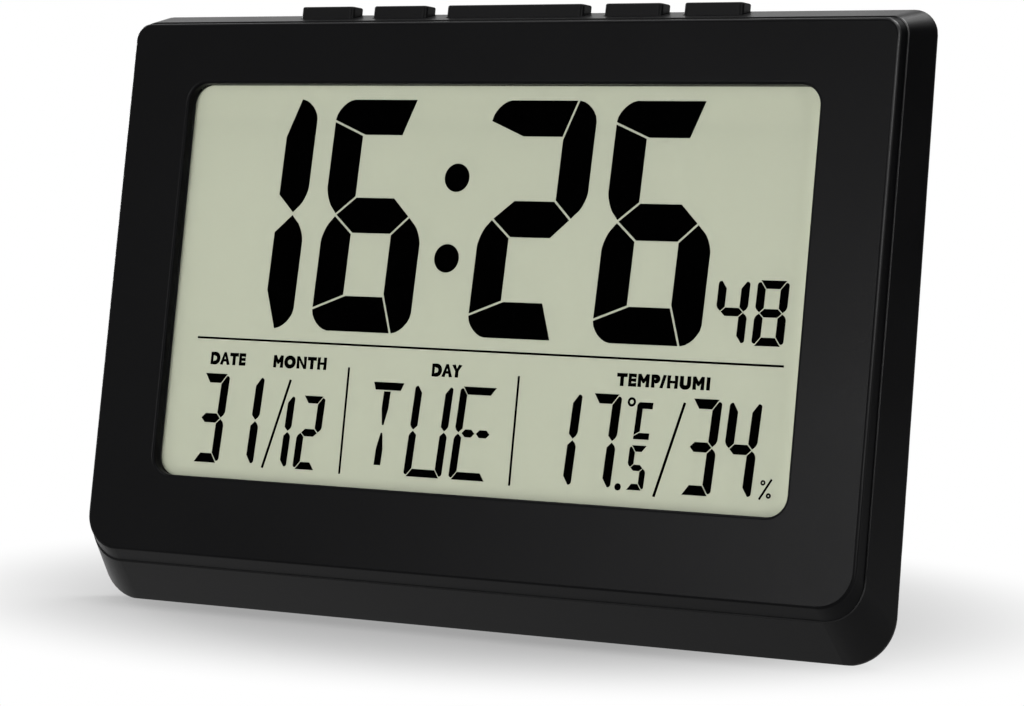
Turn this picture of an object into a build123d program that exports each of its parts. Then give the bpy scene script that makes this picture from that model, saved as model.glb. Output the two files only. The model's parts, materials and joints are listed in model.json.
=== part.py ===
from build123d import *
import math
import os

# Desk and wall clock with a large liquid crystal display.
# The clock is modelled upright: x to the right of the viewer, y from the face into the case,
# z up from the edge it rests on. At the end the whole of it leans back onto its fold-out stand.
# Lengths are in millimetres and angles in degrees.

# Case outline: the face, and the wider rim behind it
face_width = 200.0
face_height = 127.0
face_top_radius = 3.8
face_bottom_radius = 8.5
face_edge_round = 0.8
rim_depth_top = 12.6
rim_depth_bottom = 14.9
rim_top_side_flare = 3.8
rim_bottom_side_flare = 4.7
rim_top_flare = 4.4
rim_bottom_flare = 12.2
rim_top_radius = 5.8
rim_bottom_radius = 11.5
rim_round = 1.0
back_rise = 5.0
back_inset = 9.0
back_round = 2.5
lean_angle = 10.6
base_flat = 0.8

# Parting line between the two shells
parting_share = 0.245
parting_ledge = 0.35
lip_end_share = 0.45
lip_gap = 0.15
lip_wall = 1.2

# Shell walls and the window
front_wall = 2.2
front_rim_wall = 2.0
rear_wall = 2.0
window_side_margin = 17.3
window_top_margin = 14.4
window_bottom_margin = 18.5
window_radius = 4.8
window_rim_round = 0.7

# Display stack, front to back
lens_margin = 3.0
lens_thickness = 0.8
lens_radius = 6.0
gasket_thickness = 0.3
glass_margin = 2.5
glass_ledge = 3.5
glass_thickness = 1.1
polarizer_inset = 0.6
polarizer_thickness = 0.2
reflector_thickness = 0.25

# Display holder and its screws
holder_gap = 0.3
holder_skirt = 2.0
holder_plate = 1.75
holder_skirt_clear = 0.4
holder_bar = 13.0
holder_lower_bar = 36.0
holder_ear_radius = 3.2
holder_ear_rise_share = 0.3
holder_ear_gap = 0.3
zebra_height = 2.4
zebra_end_inset = 10.0
zebra_gap = 0.3
holder_screw_radius = 1.0
holder_screw_head_radius = 2.2
holder_screw_head = 1.4
holder_screw_floor = 0.8

# Main board and what is soldered to it
board_thickness = 1.2
board_inset = 9.5
board_drop = 2.4
board_height = 36.5
post_height = 0.3
post_radius = 2.5
post_edge = 5.0
post_low_rise = 9.5
board_screw_radius = 0.9
board_screw_head_radius = 1.9
board_screw_head = 1.2
board_screw_length = 1.6
screw_hole_gap = 0.05
chip_radius = 8.0
chip_height = 1.6
chip_bevel = 1.2
chip_x = -12.0
chip_rise = 20.5
crystal_radius = 1.0
crystal_length = 6.2
crystal_x = -38.0
crystal_rise = 14.0
crystal_gap = 0.05
capacitor_radius = 2.5
capacitor_height = 7.0
capacitor_bevel = 0.4
capacitor_x = -56.0
capacitor_rise = 24.0
sensor_side = 3.0
sensor_height = 1.1
sensor_port_radius = 0.6
sensor_edge = 4.5
sensor_rise = 20.0

# Buttons in the top wall, and the key board under them
button_front = 6.6
button_depth = 5.0
button_height = 5.25
button_rise = 0.5
button_corner = 1.0
button_top_round = 0.45
button_width = 14.6
button_wide_width = 36.0
button_gap = 5.5
button_row_shift = 0.9
button_clearance = 0.3
button_travel = 0.5
button_ear = 1.2
button_ear_thickness = 1.5
button_ear_gap = 0.15
plunger_radius = 1.7
plunger_proud = 1.1
plunger_sunk = 1.0
plunger_gap = 0.05
plunger_floor_gap = 0.3
switch_side = 6.0
switch_height = 3.5
key_board_thickness = 1.2
key_board_depth = 6.4
key_rib_clear = 1.0
key_slot_gap = 0.1
key_slot_bite = 2.0
key_rib_thickness = 4.0
key_rib_drop = 2.0
key_cable_width = 10.0
key_cable_thickness = 0.4
key_cable_lap = 6.0
key_cable_x = -30.0

# Case screws at the four corners
boss_radius = 3.2
boss_gap = 1.2
boss_low_drop = 5.0
boss_high_rise = 2.4
boss_end = 11.0
tube_radius = 3.8
tube_seat = 2.0
case_screw_radius = 1.3
case_screw_hole_radius = 1.6
case_screw_head_radius = 2.6
case_screw_head = 1.8
case_screw_bite = 6.5
counterbore_gap = 0.35

# Rear block that holds the batteries and the stand
block_half_width = 68.0
block_top = 82.0
block_radius = 7.0
block_round = 2.0
block_draft = 3.0
block_wall = 2.0
block_floor = 6.5

# Batteries, their bay and contacts
cell_radius = 7.25
cell_length = 50.5
cell_nub_radius = 2.7
cell_nub = 1.2
cell_bevel = 0.6
cell_gap = 0.25
cell_spacing = 15.2
bay_gap = 0.1
bay_wall = 1.5
bay_bottom = 10.0
bay_side_gap = 0.4
contact_thickness = 0.5
contact_width = 10.0
contact_edge = 1.0
leaf_height = 6.0
leaf_width = 6.0
leaf_spread = 4.6

# Insulated leads inside the case
lead_radius = 0.6
lead_bend = 1.2
lead_drop = 1.6
lead_tail = 0.3
lead_spacing = 1.4
lead_side_gap = 3.0
lead_board_rise = 5.0
contact_tail_width = 3.0

# Battery door, which slides out sideways in two grooves
door_gap = 0.35
door_thickness = 1.8
door_overlap = 2.0
door_clearance = 0.25
door_tongue = 1.2
door_tongue_thickness = 0.9
door_tab = 2.0
door_tab_length = 30.0
door_rib_count = 4
door_rib_pitch = 2.4
door_rib_width = 1.0
door_rib_proud = 0.5
door_rib_length = 16.0
door_rib_edge = 4.0
door_travel = 34.0

# Fold-out stand with a peg at each end of its hinge
stand_open = 20.0
stand_half_width = 25.5
stand_side_gap = 0.5
stand_thickness = 2.6
stand_back_gap = 0.2
stand_hinge_height = 68.0
stand_heel = 9.0
stand_stop_gap = 0.1
stand_top_gap = 1.0
stand_corner = 3.0
stand_pocket = 1.5
stand_rim = 2.4
stand_rib_count = 3
stand_rib = 1.6
stand_peg_radius = 1.8
stand_peg_length = 3.0
stand_peg_gap = 0.05
stand_wall = 7.0

# Buzzer and the openings in the back
buzzer_radius = 10.2
buzzer_thickness = 0.4
buzzer_ceramic_radius = 7.0
buzzer_ceramic = 0.25
buzzer_gap = 0.15
buzzer_seat_wall = 1.4
buzzer_seat_height = 2.2
buzzer_z = 45.0
slot_count = 5
slot_pitch = 3.6
slot_width = 1.6
slot_length = 14.0
vent_count = 4
keyhole_radius = 4.5
keyhole_slot_radius = 2.2
keyhole_rise = 9.0
keyhole_z = 116.0

# One overrun serves every cut
overrun = 1.0

# Places that follow from the sizes above
face_bottom = rim_bottom_flare
face_top = face_bottom + face_height
window_width = face_width - 2 * window_side_margin
window_bottom = face_bottom + window_bottom_margin
window_top = face_top - window_top_margin
window_height = window_top - window_bottom
window_middle = (window_bottom + window_top) / 2

lens_back = front_wall + lens_thickness
film_front = lens_back + gasket_thickness
glass_front = film_front + polarizer_thickness
glass_split = glass_front + glass_thickness
glass_back = glass_split + glass_thickness
holder_front = glass_back + reflector_thickness
holder_back = holder_front + holder_plate
glass_half_width = window_width / 2 + glass_margin
glass_low = window_bottom - glass_margin
glass_high = window_top + glass_margin
ledge_low = glass_low - glass_ledge
holder_half_width = glass_half_width + holder_gap + holder_skirt
holder_low = ledge_low - holder_gap - holder_skirt
holder_high = glass_high + holder_gap + holder_skirt
holder_ear_x = holder_half_width + holder_ear_gap + holder_ear_radius
holder_ears = [
    (side * holder_ear_x, window_middle + rise * holder_ear_rise_share * window_height)
    for side in (-1, 1)
    for rise in (-1, 1)
]
zebra_middle = (glass_low + ledge_low) / 2
zebra_half_width = glass_half_width - zebra_end_inset

board_half_width = holder_half_width - board_inset
board_front = holder_back + post_height
board_back = board_front + board_thickness
board_low = zebra_middle - zebra_height / 2 - board_drop
board_high = board_low + board_height
post_x = board_half_width - post_edge
posts = [(side * post_x, z) for side in (-1, 1) for z in (board_low + post_low_rise, board_high - post_edge)]

bay_front = board_back + board_screw_head + bay_gap
bay_floor = bay_front + bay_wall
cell_y = bay_floor + cell_gap + cell_radius
door_front = cell_y + cell_radius + door_gap
block_back = door_front + door_thickness
stand_recess_half = stand_half_width + stand_side_gap
bay_left = stand_recess_half + stand_wall
cell_xs = [bay_left + bay_side_gap + cell_radius, bay_left + bay_side_gap + cell_radius + cell_spacing]
bay_right = cell_xs[1] + cell_radius + bay_side_gap
tail_low = bay_bottom - bay_wall - lead_tail
bay_top = bay_bottom + contact_thickness + leaf_height + cell_length + contact_thickness
door_low = bay_bottom - door_overlap
door_high = bay_top + door_overlap
door_left = bay_left - door_overlap
door_middle = (door_low + door_high) / 2

buzzer_x = -(block_half_width - block_wall + bay_left) / 2
vent_x = -(block_half_width + face_width / 2 + rim_top_side_flare - back_inset) / 2
buzzer_front = block_back - block_wall - buzzer_thickness - buzzer_ceramic
hinge_y = block_back - stand_back_gap - stand_thickness
hinge_z = stand_hinge_height
recess_floor = hinge_y - stand_heel * math.sin(math.radians(stand_open)) - stand_stop_gap
recess_top = hinge_z + stand_heel + stand_top_gap

boss_x = holder_half_width + boss_gap + boss_radius
bosses = [(side * boss_x, z) for side in (-1, 1) for z in (holder_low - boss_low_drop, holder_high + boss_high_rise)]

button_back = button_front + button_depth
button_middle = (button_front + button_back) / 2
wall_slope_share = rim_top_flare / rim_depth_top
button_ear_top = face_top + wall_slope_share * button_front - rear_wall - button_ear_gap
button_under = button_ear_top - button_ear_thickness
button_top = face_top + button_height
switch_top = button_under - plunger_proud
key_board_top = switch_top - switch_height
key_board_low = key_board_top - key_board_thickness
inner_x = button_wide_width / 2 + button_gap + button_width / 2
outer_x = inner_x + button_width + button_gap
button_sizes = {
    "button_1": (button_row_shift - outer_x, button_width),
    "button_2": (button_row_shift - inner_x, button_width),
    "button_3": (button_row_shift, button_wide_width),
    "button_4": (button_row_shift + inner_x, button_width),
    "button_5": (button_row_shift + outer_x, button_width),
}
key_row_half = button_row_shift + outer_x + button_width / 2 + button_ear
key_board_half = key_row_half + key_rib_clear + key_slot_bite
key_rib_x = key_board_half - key_slot_bite + key_rib_thickness / 2


def outline_plane(share):
    """Plane of the case outline at a share of the way from the face to the rim."""
    low = Vector(0, rim_depth_bottom * share, face_bottom - rim_bottom_flare * share)
    high = Vector(0, rim_depth_top * share, face_top + rim_top_flare * share)
    up = (high - low).normalized()
    return Plane(origin=(low + high) / 2, x_dir=(1, 0, 0), z_dir=Vector(1, 0, 0).cross(up))


def outline(share, inset=0, behind=0):
    """Case outline at a share of the way to the rim, drawn in by inset and moved behind its plane."""
    rise = rim_top_flare + rim_bottom_flare
    slant = rim_depth_bottom - rim_depth_top
    low = face_width / 2 + rim_bottom_side_flare * share - inset
    high = face_width / 2 + rim_top_side_flare * share - inset
    half = math.hypot(face_height + rise * share, slant * share) / 2 - inset
    top_radius = face_top_radius + (rim_top_radius - face_top_radius) * share
    bottom_radius = face_bottom_radius + (rim_bottom_radius - face_bottom_radius) * share
    sketch = make_face(Polyline((-low, -half), (low, -half), (high, half), (-high, half), close=True))
    corners = sketch.vertices().group_by(Axis.Y)
    sketch = fillet(corners[-1], max(top_radius - inset, rear_wall))
    corners = sketch.vertices().group_by(Axis.Y)
    sketch = fillet(corners[0], max(bottom_radius - inset, rear_wall))
    return outline_plane(share).offset(-behind) * sketch


def back_depth(z):
    """Depth of the flat back at a height."""
    share = z / (face_top + rim_top_flare)
    return rim_depth_bottom + (rim_depth_top - rim_depth_bottom) * share + back_rise


def slab(sketch, front, back):
    """Solid of a flat sketch, drawn in x and z, from one depth to another."""
    plane = Plane(origin=(0, front, 0), x_dir=(1, 0, 0), z_dir=(0, -1, 0))
    return extrude(plane * sketch, amount=back - front, dir=(0, 1, 0))


def block(x, y, z):
    """Box between pairs of limits."""
    size = Box(x[1] - x[0], y[1] - y[0], z[1] - z[0])
    return Pos((x[0] + x[1]) / 2, (y[0] + y[1]) / 2, (z[0] + z[1]) / 2) * size


def rod(x, z, radius, front, back):
    """Round rod along the depth of the case."""
    return slab(Pos(x, z) * Circle(radius), front, back)


def group(pieces):
    """Separate solids that share one node."""
    return Compound([solid for piece in pieces for solid in piece.solids()])


def window_sketch(margin, radius):
    """Window outline, grown by a margin."""
    shape = RectangleRounded(window_width + 2 * margin, window_height + 2 * margin, radius)
    return Pos(0, window_middle) * shape


def below_floor():
    """Everything under the plane that the leaning clock stands on."""
    size = 2 * (face_width + face_height)
    under = Pos(0, 0, -size / 2) * Box(size, size, size)
    return Pos(0, rim_depth_bottom, base_flat) * Rot(X=lean_angle) * under


def make_front_cover():
    """Front shell: face with the sunk window, locating lip, screw bosses."""
    shell = loft([outline(0), outline(parting_share, parting_ledge)], ruled=True)
    shell = fillet(shell.edges().group_by(Axis.Y)[0], face_edge_round)
    root = outline(0, front_rim_wall)
    shell -= Pos(0, front_wall, 0) * extrude(root, amount=rim_depth_bottom, dir=(0, 1, 0))
    lip_inset = rear_wall + lip_gap
    lip_root_share = front_wall / 2 / rim_depth_bottom
    lip = loft([outline(lip_root_share, lip_inset), outline(lip_end_share, lip_inset)], ruled=True)
    lip_core = lip_inset + lip_wall
    lip -= loft([outline(0, lip_core), outline(1, lip_core)], ruled=True)
    shell += lip
    shell -= slab(window_sketch(0, window_radius), -overrun, front_wall + overrun)
    rim = shell.edges().filter_by_position(Axis.Y, -overrun / 2, overrun / 2)
    rim = [e for e in rim if abs(e.center().X) < window_width / 2 + overrun / 2]
    rim = [e for e in rim if window_bottom - overrun / 2 < e.center().Z < window_top + overrun / 2]
    shell = fillet(rim, window_rim_round)
    for x, z in bosses:
        shell += rod(x, z, boss_radius, front_wall / 2, boss_end)
        shell -= rod(x, z, case_screw_radius + screw_hole_gap, boss_end - case_screw_bite, boss_end)
    for x, z in holder_ears:
        shell += rod(x, z, holder_ear_radius, front_wall / 2, holder_front)
        shell -= rod(x, z, holder_screw_radius + screw_hole_gap, front_wall + holder_screw_floor, holder_front)
    return shell


def make_rear_cover():
    """Rear shell: flared band, domed back, battery and stand block, ribs and openings."""
    shell = loft([outline(parting_share), outline(1)], ruled=True)
    shell += loft([outline(1), outline(1, back_inset, back_rise)], ruled=True)
    rim_plane = outline_plane(1)
    edges = shell.edges()
    rim = [e for e in edges if abs(rim_plane.to_local_coords(e.center()).Z) < overrun / 10]
    shell = fillet(rim, rim_round)
    back = [e for e in shell.edges() if abs(rim_plane.to_local_coords(e.center()).Z + back_rise) < overrun / 10]
    shell = fillet(back, back_round)
    shell += rear_block()
    shell -= below_floor()
    shell -= loft([outline(parting_share / 2, rear_wall), outline(1, rear_wall)], ruled=True)
    shell -= loft([outline(1, rear_wall), outline(1, back_inset, back_rise - rear_wall)], ruled=True)
    shell -= block_hollows()
    shell += bay_walls()
    shell -= bay_cuts()
    shell -= stand_cuts()
    shell += key_ribs()
    shell -= key_slots()
    for x, width in button_sizes.values():
        shell -= button_hole(x, width)
    shell += screw_tubes()
    shell -= screw_holes()
    shell += buzzer_seat()
    shell -= back_openings()
    return shell


def rear_block():
    """Block behind the case, with drafted sides and rounded back edges."""
    root = rim_depth_bottom
    height = block_top + block_floor
    plane = Plane(origin=(0, root, block_top - height / 2), x_dir=(-1, 0, 0), z_dir=(0, 1, 0))
    grow = (block_back - root) * math.tan(math.radians(block_draft))
    sketch = RectangleRounded(2 * (block_half_width + grow), height + 2 * grow, block_radius)
    solid = extrude(plane * sketch, amount=block_back - root, taper=block_draft)
    return fillet(solid.edges().group_by(Axis.Y)[-1], block_round)


def block_hollows():
    """Hollows inside the block, open to the case: buzzer side and behind the stand."""
    front = bay_front
    left = (-block_half_width + block_wall, -bay_left)
    hollow = block(left, (front, block_back - block_wall), (block_floor, block_top - block_wall))
    middle = (-stand_recess_half, stand_recess_half)
    return hollow + block(middle, (front, recess_floor - block_wall), (block_floor, recess_top))


def bay_walls():
    """Walls of the battery bay, from just behind the main board to the block."""
    x = (bay_left - bay_wall, bay_right + bay_wall)
    z = (bay_bottom - bay_wall, bay_top + bay_wall)
    return block(x, (bay_front, door_front), z)


def bay_cuts():
    """Battery bay, the seat of its door and the two grooves the door slides in."""
    far = block_half_width + overrun
    rear = block_back + overrun
    bay = block((bay_left, bay_right), (bay_floor, rear), (bay_bottom, bay_top))
    seat_z = (door_low - door_clearance, door_high + door_clearance)
    seat = block((door_left - door_clearance, far + overrun), (door_front, rear), seat_z)
    reach = door_tongue + door_clearance
    groove_y = (door_front, door_front + door_tongue_thickness + door_clearance)
    grooves = block((door_left, far + overrun), groove_y, (seat_z[0] - reach, seat_z[1] + reach))
    half = door_tab_length / 2 + door_clearance
    tab_x = (door_left - door_tab - door_clearance, door_left)
    cuts = bay + seat + grooves + block(tab_x, groove_y, (door_middle - half, door_middle + half))
    for x in cell_xs:
        reach = contact_tail_width / 2 + door_clearance
        tail_y = (bay_floor, bay_floor + contact_thickness + door_clearance)
        cuts += block((x - reach, x + reach), tail_y, (bay_bottom - bay_wall - overrun, bay_bottom + overrun))
    return cuts


def stand_cuts():
    """Recess of the stand, open at the bottom, and the bores of its pegs."""
    half = stand_recess_half
    recess = block((-half, half), (recess_floor, block_back + overrun), (-block_floor, recess_top))
    reach = stand_half_width + stand_peg_length + stand_side_gap
    bore = Cylinder(stand_peg_radius + stand_peg_gap, 2 * reach)
    return recess + Pos(0, hinge_y, hinge_z) * Rot(Y=90) * bore


def key_ribs():
    """Ribs under the top wall that hold the ends of the key board."""
    ribs = []
    for side in (-1, 1):
        x = (side * key_rib_x - key_rib_thickness / 2, side * key_rib_x + key_rib_thickness / 2)
        z = (key_board_low - key_rib_drop, face_top - rear_wall / 2)
        ribs.append(block(x, (button_front, rim_depth_top + rear_wall), z))
    return ribs


def key_slots():
    """Slots in those ribs."""
    half = key_board_half + key_slot_gap
    y = (button_front - overrun, button_middle + key_board_depth / 2 + key_slot_gap)
    return block((-half, half), y, (key_board_low - key_slot_gap, key_board_top + key_slot_gap))


def button_hole(x, width):
    """Hole in the top wall for one button."""
    size = RectangleRounded(width + 2 * button_clearance, button_depth + 2 * button_clearance, button_corner)
    plane = Plane(origin=(x, button_middle, button_under + button_ear_thickness))
    return extrude(plane * size, amount=button_height + rear_wall)


def screw_tubes():
    """Tubes behind the corner bosses."""
    return [rod(x, z, tube_radius, boss_end, back_depth(z) - rear_wall / 2) for x, z in bosses]


def screw_holes():
    """Clearance holes and counterbores of the case screws."""
    seat = boss_end + tube_seat
    rear = block_back
    holes = [rod(x, z, case_screw_hole_radius, boss_end - overrun, rear) for x, z in bosses]
    return holes + [rod(x, z, case_screw_head_radius + counterbore_gap, seat, rear) for x, z in bosses]


def buzzer_seat():
    """Ring on the inside of the block that holds the buzzer."""
    front = block_back - block_wall - buzzer_seat_height
    inner = buzzer_radius + buzzer_gap
    ring = rod(buzzer_x, buzzer_z, inner + buzzer_seat_wall, front, block_back - block_wall)
    return ring - rod(buzzer_x, buzzer_z, inner, front - overrun, block_back - block_wall)


def back_openings():
    """Sound slots, vents for the climate sensor and the keyhole for a wall screw."""
    cuts = []
    for i in range(slot_count):
        z = buzzer_z + (i - (slot_count - 1) / 2) * slot_pitch
        cuts.append(slab(Pos(buzzer_x, z) * SlotOverall(slot_length, slot_width), recess_floor, block_back + overrun))
    for i in range(vent_count):
        z = board_low + sensor_rise + (i - (vent_count - 1) / 2) * slot_pitch
        cuts.append(slab(Pos(vent_x, z) * SlotOverall(slot_length, slot_width), boss_end, block_back))
    back = outline_plane(1).offset(-back_rise)
    middle = back.to_local_coords(Vector(0, 0, keyhole_z)).Y
    hole = Pos(0, middle) * Circle(keyhole_radius)
    hole += Pos(0, middle + keyhole_rise / 2) * Rectangle(2 * keyhole_slot_radius, keyhole_rise)
    hole += Pos(0, middle + keyhole_rise) * Circle(keyhole_slot_radius)
    cuts.append(extrude(back * hole, amount=rear_wall + overrun, both=True))
    return cuts


def make_display():
    """Clear lens and the layers of the display behind it."""
    glass = (-glass_half_width, glass_half_width)
    film = (-glass_half_width + polarizer_inset, glass_half_width - polarizer_inset)
    film_z = (glass_low + polarizer_inset, glass_high - polarizer_inset)
    gasket = window_sketch(lens_margin, lens_radius) - window_sketch(0, window_radius)
    return {
        "display_lens": slab(window_sketch(lens_margin, lens_radius), front_wall, lens_back),
        "display_gasket": slab(gasket, lens_back, film_front),
        "lcd_polarizer": block(film, (film_front, glass_front), film_z),
        "lcd_front_glass": block(glass, (glass_front, glass_split), (ledge_low, glass_high)),
        "lcd_rear_glass": block(glass, (glass_split, glass_back), (glass_low, glass_high)),
        "lcd_reflector": block(film, (glass_back, holder_front), film_z),
    }


def make_holder():
    """Frame that clamps the glass: skirt, plate, ears for screws, posts for the main board."""
    half = holder_half_width
    plate = block((-half, half), (lens_back + holder_skirt_clear, holder_back), (holder_low, holder_high))
    room = glass_half_width + holder_gap
    plate -= block((-room, room), (0, holder_front), (ledge_low - holder_gap, glass_high + holder_gap))
    open_x = glass_half_width - holder_bar
    plate -= block((-open_x, open_x), (0, block_back), (glass_low + holder_lower_bar, glass_high - holder_bar))
    slot = zebra_half_width + zebra_gap
    slot_z = (zebra_middle - zebra_height / 2 - zebra_gap, zebra_middle + zebra_height / 2 + zebra_gap)
    plate -= block((-slot, slot), (0, block_back), slot_z)
    for x, z in holder_ears:
        root = math.copysign(holder_half_width - holder_skirt / 2, x)
        plate += rod(x, z, holder_ear_radius, holder_front, holder_back)
        ear_z = (z - holder_ear_radius, z + holder_ear_radius)
        plate += block((min(x, root), max(x, root)), (holder_front, holder_back), ear_z)
        plate -= rod(x, z, holder_screw_radius + screw_hole_gap, 0, block_back)
    for x, z in posts:
        plate += rod(x, z, post_radius, holder_back, board_front)
        plate -= rod(x, z, board_screw_radius + screw_hole_gap, board_front - board_screw_length, block_back)
    return plate


def make_main_board():
    """Main circuit board with its four screw holes."""
    board = block((-board_half_width, board_half_width), (board_front, board_back), (board_low, board_high))
    for x, z in posts:
        board -= rod(x, z, board_screw_radius + screw_hole_gap, 0, block_back)
    return board


def make_board_parts():
    """Parts soldered to the back of the main board, and the rubber connector to the glass."""
    chip = rod(chip_x, board_low + chip_rise, chip_radius, board_back, board_back + chip_height)
    chip = chamfer(chip.edges().group_by(Axis.Y)[-1], chip_bevel)
    can = rod(capacitor_x, board_low + capacitor_rise, capacitor_radius, board_back, board_back + capacitor_height)
    can = chamfer(can.edges().group_by(Axis.Y)[-1], capacitor_bevel)
    crystal_y = board_back + crystal_gap + crystal_radius
    crystal = Rot(Y=90) * Cylinder(crystal_radius, crystal_length)
    sensor_x = -board_half_width + sensor_edge
    sensor_z = board_low + sensor_rise
    sensor = slab(Pos(sensor_x, sensor_z) * Rectangle(sensor_side, sensor_side), board_back, board_back + sensor_height)
    sensor -= rod(sensor_x, sensor_z, sensor_port_radius, board_back + sensor_height / 2, block_back)
    strip = Pos(0, zebra_middle) * Rectangle(2 * zebra_half_width, zebra_height)
    return {
        "controller_chip": chip,
        "filter_capacitor": can,
        "quartz_crystal": Pos(crystal_x, crystal_y, board_low + crystal_rise) * crystal,
        "climate_sensor": sensor,
        "zebra_strip": slab(strip, glass_split, board_front),
    }


def make_button(x, width):
    """Button cap with a rounded, sloping top and an ear at each end that keeps it in the wall."""
    cap = RectangleRounded(width, button_depth, button_corner)
    plane = Plane(origin=(x, button_middle, button_under))
    button = extrude(plane * cap, amount=button_top + button_rise - button_under)
    slope = math.degrees(math.atan2(button_rise, button_depth))
    above = Box(2 * width, 4 * button_depth, button_height, align=(Align.CENTER, Align.CENTER, Align.MIN))
    button -= Pos(x, button_front, button_top) * Rot(X=slope) * above
    button = fillet(button.faces().sort_by(Axis.Z)[-1].edges(), button_top_round)
    half = width / 2 + button_ear
    ear_y = (button_front + button_corner, button_back - button_corner)
    return button + block((x - half, x + half), ear_y, (button_under, button_ear_top))


def make_keys():
    """Key board, push switches and the flat cable down to the main board."""
    board_y = (button_middle - key_board_depth / 2, button_middle + key_board_depth / 2)
    board = block((-key_board_half, key_board_half), board_y, (key_board_low, key_board_top))
    well = plunger_sunk + button_travel + plunger_floor_gap
    switches = []
    for x, width in button_sizes.values():
        housing = Pos(x, button_middle, key_board_top + switch_height / 2) * Box(switch_side, switch_side, switch_height)
        hole = Cylinder(plunger_radius + plunger_gap, well)
        switches.append(housing - Pos(x, button_middle, switch_top - well / 2) * hole)
    cable_x = (key_cable_x - key_cable_width / 2, key_cable_x + key_cable_width / 2)
    cable_y = (board_back, board_back + key_cable_thickness)
    return {
        "key_board": board,
        "key_switches": group(switches),
        "key_cable": block(cable_x, cable_y, (board_high - key_cable_lap, key_board_low)),
    }


def make_plunger(x):
    """Plunger of one push switch, under its button."""
    length = plunger_proud + plunger_sunk
    return Pos(x, button_middle, button_under - length / 2) * Cylinder(plunger_radius, length)


def make_screw(x, z, seat, radius, head_radius, head, bite):
    """Screw driven from behind, its head on a seat at one depth."""
    screw = rod(x, z, head_radius, seat, seat + head)
    screw = chamfer(screw.edges().group_by(Axis.Y)[-1], head / 3)
    return screw + rod(x, z, radius, seat - bite, seat)


def make_screws():
    """Screws, one group for each size."""
    ear_bite = holder_back - front_wall - 2 * holder_screw_floor
    post_bite = board_back - board_front + board_screw_length - screw_hole_gap
    bite = tube_seat + case_screw_bite - overrun
    case_head = (case_screw_radius, case_screw_head_radius, case_screw_head, bite)
    holder_head = (holder_screw_radius, holder_screw_head_radius, holder_screw_head, ear_bite)
    board_head = (board_screw_radius, board_screw_head_radius, board_screw_head, post_bite)
    return {
        "case_screws": group([make_screw(x, z, boss_end + tube_seat, *case_head) for x, z in bosses]),
        "holder_screws": group([make_screw(x, z, holder_back, *holder_head) for x, z in holder_ears]),
        "board_screws": group([make_screw(x, z, board_back, *board_head) for x, z in posts]),
    }


def make_cell(x, low, nub_up):
    """Round battery cell with its contact nub at one end."""
    body = cell_length - cell_nub
    cell = Pos(0, 0, body / 2) * Cylinder(cell_radius, body)
    cell = chamfer(cell.edges().filter_by(GeomType.CIRCLE), cell_bevel)
    cell += Pos(0, 0, body + cell_nub / 2) * Cylinder(cell_nub_radius, cell_nub)
    turn = Rot(X=0) if nub_up else Pos(0, 0, cell_length) * Rot(X=180)
    return Pos(x, cell_y, low) * turn * cell


def make_leaf(x, foot, up):
    """Bent leaf that presses on the flat end of a cell, from its foot upwards or downwards."""
    t = contact_thickness
    side = 1 if up else -1
    path = [
        (cell_y + leaf_spread, foot),
        (cell_y, foot + side * (leaf_height - t)),
        (cell_y, foot + side * leaf_height),
        (cell_y - t, foot + side * leaf_height),
        (cell_y - leaf_spread, foot + side * leaf_height / 2),
        (cell_y - leaf_spread + t, foot + side * leaf_height / 2),
        (cell_y - t / 2, foot + side * (leaf_height - 2 * t)),
        (cell_y + leaf_spread - t, foot),
    ]
    plane = Plane(origin=(x - leaf_width / 2, 0, 0), x_dir=(0, 1, 0), z_dir=(1, 0, 0))
    return extrude(plane * make_face(Polyline(*path, close=True)), amount=leaf_width)


def make_tail(x):
    """Tail of a contact, down through the end wall of the bay."""
    y = (bay_floor, bay_floor + contact_thickness)
    return block((x - contact_tail_width / 2, x + contact_tail_width / 2), y, (tail_low, bay_bottom))


def make_lead(points):
    """Insulated wire along straight runs and round bends."""
    path = FilletPolyline(*points, radius=lead_bend)
    return sweep(Plane(origin=path @ 0, z_dir=path % 0) * Circle(lead_radius), path=path)


def make_leads():
    """Leads from the battery contacts and the buzzer to the main board."""
    battery = []
    for i, x in enumerate(cell_xs):
        y = bay_floor + contact_thickness / 2
        low = tail_low - lead_drop - i * lead_spacing
        side = bay_left - bay_wall - lead_side_gap - i * lead_spacing
        high = board_low + lead_board_rise
        points = [(x, y, tail_low), (x, y, low), (side, y, low), (side, y, high), (side, board_back, high)]
        battery.append(make_lead(points))
    buzzer = []
    for side in (-1, 1):
        x = buzzer_x + side * buzzer_ceramic_radius / 2
        middle = (buzzer_front + board_back) / 2
        rise = buzzer_z + buzzer_ceramic_radius
        points = [(x, buzzer_front, buzzer_z), (x, middle, buzzer_z), (x, middle, rise), (x, board_back, rise)]
        buzzer.append(make_lead(points))
    return {"battery_leads": group(battery), "buzzer_leads": group(buzzer)}


def make_contacts():
    """Bent metal contacts at the two ends of the bay."""
    low = (bay_bottom, bay_bottom + contact_thickness)
    high = (bay_top - contact_thickness, bay_top)
    y = (bay_floor, door_front - contact_edge)
    left, right = cell_xs
    half = contact_width / 2
    minus = block((left - half, left + half), y, low) + make_leaf(left, low[1], True) + make_tail(left)
    plus = block((right - half, right + half), y, low) + make_tail(right)
    link = block((left - half, right + half), y, high) + make_leaf(right, high[0], False)
    return {"battery_minus_contact": minus, "battery_plus_contact": plus, "battery_link": link}


def make_cells():
    """Two cells, side by side and head to tail."""
    left, right = cell_xs
    base = bay_bottom + contact_thickness
    return {
        "battery_1": make_cell(left, base + leaf_height, True),
        "battery_2": make_cell(right, base, False),
    }


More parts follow.
